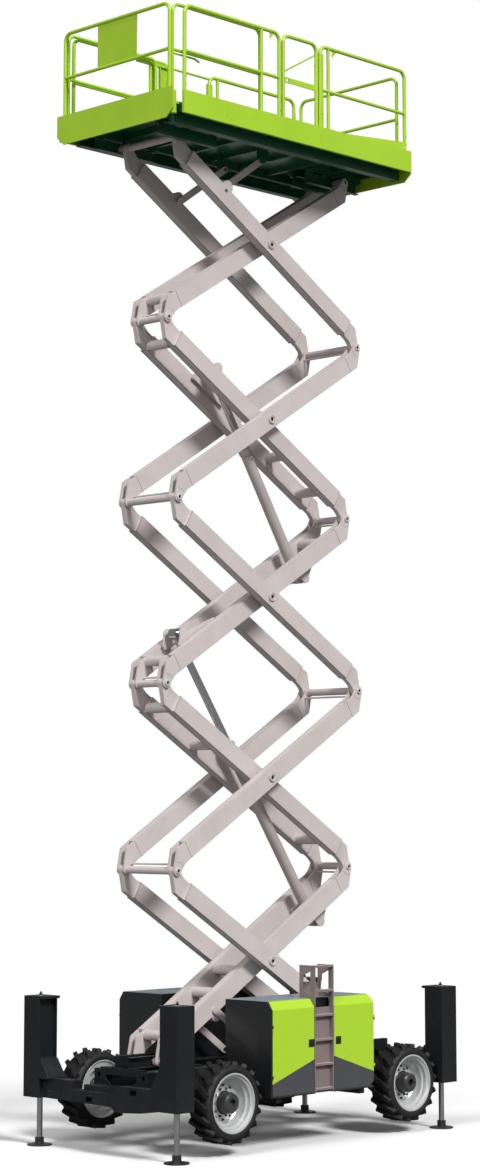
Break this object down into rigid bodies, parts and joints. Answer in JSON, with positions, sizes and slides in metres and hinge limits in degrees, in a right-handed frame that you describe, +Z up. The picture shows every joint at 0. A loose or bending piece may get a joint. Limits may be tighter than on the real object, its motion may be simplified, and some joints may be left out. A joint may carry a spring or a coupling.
{
  "type": "scissor lift",
  "caption": "Rough-terrain scissor lift with a stacked crossing-arm mast, sliding platform extension, side covers and swing-down outriggers.",
  "frame": {"origin": "on the ground, midway between the four outrigger pads", "axes": "+X to the steered front end, +Y to the left side with the ladder, +Z up"},
  "size_m": [4.5659, 2.452, 12.637],
  "materials": {
    "arm_paint": "satin",
    "tyre": "matt",
    "rim_paint": "satin",
    "chrome": "polished",
    "green_paint": "gloss",
    "deck_paint": "satin",
    "cast_iron": "rough",
    "ladder_paint": "satin",
    "barrel_paint": "satin",
    "chassis_paint": "satin"
  },
  "bodies": {
    "chassis": {"chassis_frame": "chassis_paint", "front_outrigger_beam": "chassis_paint", "rear_outrigger_beam": "chassis_paint", "front_axle": "chassis_paint", "rear_axle": "chassis_paint", "cover_left": "chassis_paint", "cover_right": "chassis_paint", "engine_block": "cast_iron", "ladder": "ladder_paint"},
    "door_front_left": {"door_front_left": "green_paint"},
    "door_rear_left": {"door_rear_left": "green_paint"},
    "door_front_right": {"door_front_right": "green_paint"},
    "door_rear_right": {"door_rear_right": "green_paint"},
    "knuckle_left": {"knuckle_left": "chassis_paint"},
    "knuckle_right": {"knuckle_right": "chassis_paint"},
    "wheel_front_left": {"rim_front_left": "rim_paint", "tyre_front_left": "tyre"},
    "leg_front_left": {"leg_front_left": "chrome"},
    "wheel_front_right": {"rim_front_right": "rim_paint", "tyre_front_right": "tyre"},
    "leg_front_right": {"leg_front_right": "chrome"},
    "wheel_rear_left": {"rim_rear_left": "rim_paint", "tyre_rear_left": "tyre"},
    "leg_rear_left": {"leg_rear_left": "chrome"},
    "wheel_rear_right": {"rim_rear_right": "rim_paint", "tyre_rear_right": "tyre"},
    "leg_rear_right": {"leg_rear_right": "chrome"},
    "centring_links_base": {"centring_links_base": "arm_paint"},
    "arm_outer_1": {"arm_outer_1": "arm_paint"},
    "arm_inner_1": {"arm_inner_1": "arm_paint"},
    "arm_outer_2": {"arm_outer_2": "arm_paint"},
    "arm_inner_2": {"arm_inner_2": "arm_paint"},
    "arm_outer_3": {"arm_outer_3": "arm_paint"},
    "arm_inner_3": {"arm_inner_3": "arm_paint"},
    "arm_outer_4": {"arm_outer_4": "arm_paint"},
    "arm_inner_4": {"arm_inner_4": "arm_paint"},
    "arm_outer_5": {"arm_outer_5": "arm_paint"},
    "arm_inner_5": {"arm_inner_5": "arm_paint"},
    "centring_links_top": {"centring_links_top": "arm_paint"},
    "lower_cylinder_barrel": {"lower_cylinder_barrel": "barrel_paint"},
    "lower_cylinder_rod": {"lower_cylinder_rod": "chrome"},
    "upper_cylinder_barrel": {"upper_cylinder_barrel": "barrel_paint"},
    "upper_cylinder_rod": {"upper_cylinder_rod": "chrome"},
    "platform": {"platform_deck": "deck_paint", "toe_boards": "green_paint", "guard_rails": "green_paint"},
    "extension": {"extension_deck": "green_paint", "extension_rails": "green_paint"},
    "gate": {"gate": "green_paint"}
  },
  "joints": [
    {"name": "steer_left", "type": "hinge", "parent": "chassis", "child": "knuckle_left", "pos_m": [1.387, 0.88, 0.567], "axis": [0, 0, 1], "range_deg": [-30, 30]},
    {"name": "steer_right", "type": "hinge", "parent": "chassis", "child": "knuckle_right", "pos_m": [1.387, -0.88, 0.567], "axis": [0, 0, 1], "range_deg": [-30, 30]},
    {"name": "roll_front_left", "type": "hinge", "parent": "knuckle_left", "child": "wheel_front_left", "pos_m": [1.387, 1, 0.567], "axis": [0, 1, 0], "continuous": true},
    {"name": "roll_front_right", "type": "hinge", "parent": "knuckle_right", "child": "wheel_front_right", "pos_m": [1.387, -1, 0.567], "axis": [0, 1, 0], "continuous": true},
    {"name": "roll_rear_left", "type": "hinge", "parent": "chassis", "child": "wheel_rear_left", "pos_m": [-1.525, 1, 0.567], "axis": [0, 1, 0], "continuous": true},
    {"name": "roll_rear_right", "type": "hinge", "parent": "chassis", "child": "wheel_rear_right", "pos_m": [-1.525, -1, 0.567], "axis": [0, 1, 0], "continuous": true},
    {"name": "open_door_front_left", "type": "hinge", "parent": "chassis", "child": "door_front_left", "pos_m": [0.8195, 1.219, 1.09], "axis": [0, 0, -1], "range_deg": [0, 100]},
    {"name": "open_door_rear_left", "type": "hinge", "parent": "chassis", "child": "door_rear_left", "pos_m": [-0.834, 1.219, 1.09], "axis": [0, 0, 1], "range_deg": [0, 100]},
    {"name": "open_door_front_right", "type": "hinge", "parent": "chassis", "child": "door_front_right", "pos_m": [0.8195, -1.219, 1.09], "axis": [0, 0, 1], "range_deg": [0, 100]},
    {"name": "open_door_rear_right", "type": "hinge", "parent": "chassis", "child": "door_rear_right", "pos_m": [-0.834, -1.219, 1.09], "axis": [0, 0, -1], "range_deg": [0, 100]},
    {"name": "lift_leg_front_left", "type": "slide", "parent": "chassis", "child": "leg_front_left", "axis": [0, 0, 1], "range_m": [0, 0.44]},
    {"name": "lift_leg_front_right", "type": "slide", "parent": "chassis", "child": "leg_front_right", "axis": [0, 0, 1], "range_m": [0, 0.44]},
    {"name": "lift_leg_rear_left", "type": "slide", "parent": "chassis", "child": "leg_rear_left", "axis": [0, 0, 1], "range_m": [0, 0.44]},
    {"name": "lift_leg_rear_right", "type": "slide", "parent": "chassis", "child": "leg_rear_right", "axis": [0, 0, 1], "range_m": [0, 0.44]},
    {"name": "raise_platform", "type": "hinge", "parent": "chassis", "child": "centring_links_base", "pos_m": [0.046, 0, 0.951], "axis": [0, -1, 0], "range_deg": [-31, 20]},
    {"name": "fold_inner_1", "type": "hinge", "parent": "centring_links_base", "child": "arm_inner_1", "pos_m": [0.79021, 0, 1.46728], "axis": [0, 1, 0], "range_deg": [-62, 40]},
    {"name": "fold_outer_1", "type": "hinge", "parent": "arm_inner_1", "child": "arm_outer_1", "pos_m": [0.046, 0, 1.98355], "axis": [0, -1, 0], "range_deg": [-62, 40]},
    {"name": "fold_outer_2", "type": "hinge", "parent": "arm_outer_1", "child": "arm_outer_2", "pos_m": [1.53441, 0, 3.0161], "axis": [0, 1, 0], "range_deg": [-62, 40]},
    {"name": "fold_inner_2", "type": "hinge", "parent": "arm_outer_2", "child": "arm_inner_2", "pos_m": [0.046, 0, 4.04865], "axis": [0, -1, 0], "range_deg": [-62, 40]},
    {"name": "fold_outer_3", "type": "hinge", "parent": "arm_outer_2", "child": "arm_outer_3", "pos_m": [-1.44241, 0, 5.0812], "axis": [0, -1, 0], "range_deg": [-62, 40]},
    {"name": "fold_inner_3", "type": "hinge", "parent": "arm_outer_3", "child": "arm_inner_3", "pos_m": [0.046, 0, 6.11375], "axis": [0, 1, 0], "range_deg": [-62, 40]},
    {"name": "fold_outer_4", "type": "hinge", "parent": "arm_outer_3", "child": "arm_outer_4", "pos_m": [1.53441, 0, 7.1463], "axis": [0, 1, 0], "range_deg": [-62, 40]},
    {"name": "fold_inner_4", "type": "hinge", "parent": "arm_outer_4", "child": "arm_inner_4", "pos_m": [0.046, 0, 8.17884], "axis": [0, -1, 0], "range_deg": [-62, 40]},
    {"name": "fold_outer_5", "type": "hinge", "parent": "arm_outer_4", "child": "arm_outer_5", "pos_m": [-1.44241, 0, 9.21139], "axis": [0, -1, 0], "range_deg": [-62, 40]},
    {"name": "fold_inner_5", "type": "hinge", "parent": "arm_outer_5", "child": "arm_inner_5", "pos_m": [0.046, 0, 10.24394], "axis": [0, 1, 0], "range_deg": [-62, 40]},
    {"name": "fold_links_top", "type": "hinge", "parent": "arm_outer_5", "child": "centring_links_top", "pos_m": [0.79021, 0, 10.76022], "axis": [0, 1, 0], "range_deg": [-62, 40]},
    {"name": "level_platform", "type": "hinge", "parent": "centring_links_top", "child": "platform", "pos_m": [0.046, 0, 11.27649], "axis": [0, -1, 0], "range_deg": [-31, 20]},
    {"name": "swing_lower_cylinder", "type": "hinge", "parent": "arm_inner_1", "child": "lower_cylinder_barrel", "pos_m": [-1.12484, 0, 2.38179], "axis": [0, -1, 0], "range_deg": [-56.42, 36.4]},
    {"name": "stroke_lower_cylinder", "type": "slide", "parent": "lower_cylinder_barrel", "child": "lower_cylinder_rod", "axis": [0.5683, 0, 0.8228], "range_m": [-1.3667, 0.8819]},
    {"name": "swing_upper_cylinder", "type": "hinge", "parent": "arm_inner_3", "child": "upper_cylinder_barrel", "pos_m": [-0.88401, 0, 6.41053], "axis": [0, -1, 0], "range_deg": [-58.9, 38]},
    {"name": "stroke_upper_cylinder", "type": "slide", "parent": "upper_cylinder_barrel", "child": "upper_cylinder_rod", "axis": [0.5305, 0, 0.8477], "range_m": [-0.9203, 0.5939]},
    {"name": "extend_platform", "type": "slide", "parent": "platform", "child": "extension", "axis": [1, 0, 0], "range_m": [0, 1.3]},
    {"name": "open_gate", "type": "hinge", "parent": "platform", "child": "gate", "pos_m": [-0.2665, 0.895, 12.0535], "axis": [0, 0, -1], "range_deg": [0, 90]}
  ],
  "couplings": [
    {"joint": "steer_right", "follows": "steer_left", "ratio": 1},
    {"joint": "fold_inner_1", "follows": "raise_platform", "ratio": 2},
    {"joint": "fold_outer_1", "follows": "raise_platform", "ratio": 2},
    {"joint": "fold_outer_2", "follows": "raise_platform", "ratio": 2},
    {"joint": "fold_inner_2", "follows": "raise_platform", "ratio": 2},
    {"joint": "fold_outer_3", "follows": "raise_platform", "ratio": 2},
    {"joint": "fold_inner_3", "follows": "raise_platform", "ratio": 2},
    {"joint": "fold_outer_4", "follows": "raise_platform", "ratio": 2},
    {"joint": "fold_inner_4", "follows": "raise_platform", "ratio": 2},
    {"joint": "fold_outer_5", "follows": "raise_platform", "ratio": 2},
    {"joint": "fold_inner_5", "follows": "raise_platform", "ratio": 2},
    {"joint": "fold_links_top", "follows": "raise_platform", "ratio": 2},
    {"joint": "level_platform", "follows": "raise_platform", "ratio": 1},
    {"joint": "swing_lower_cylinder", "follows": "raise_platform", "ratio": 1.82},
    {"joint": "stroke_lower_cylinder", "follows": "raise_platform", "m_per_rad": 2.525},
    {"joint": "swing_upper_cylinder", "follows": "raise_platform", "ratio": 1.9},
    {"joint": "stroke_upper_cylinder", "follows": "raise_platform", "m_per_rad": 1.7}
  ]
}
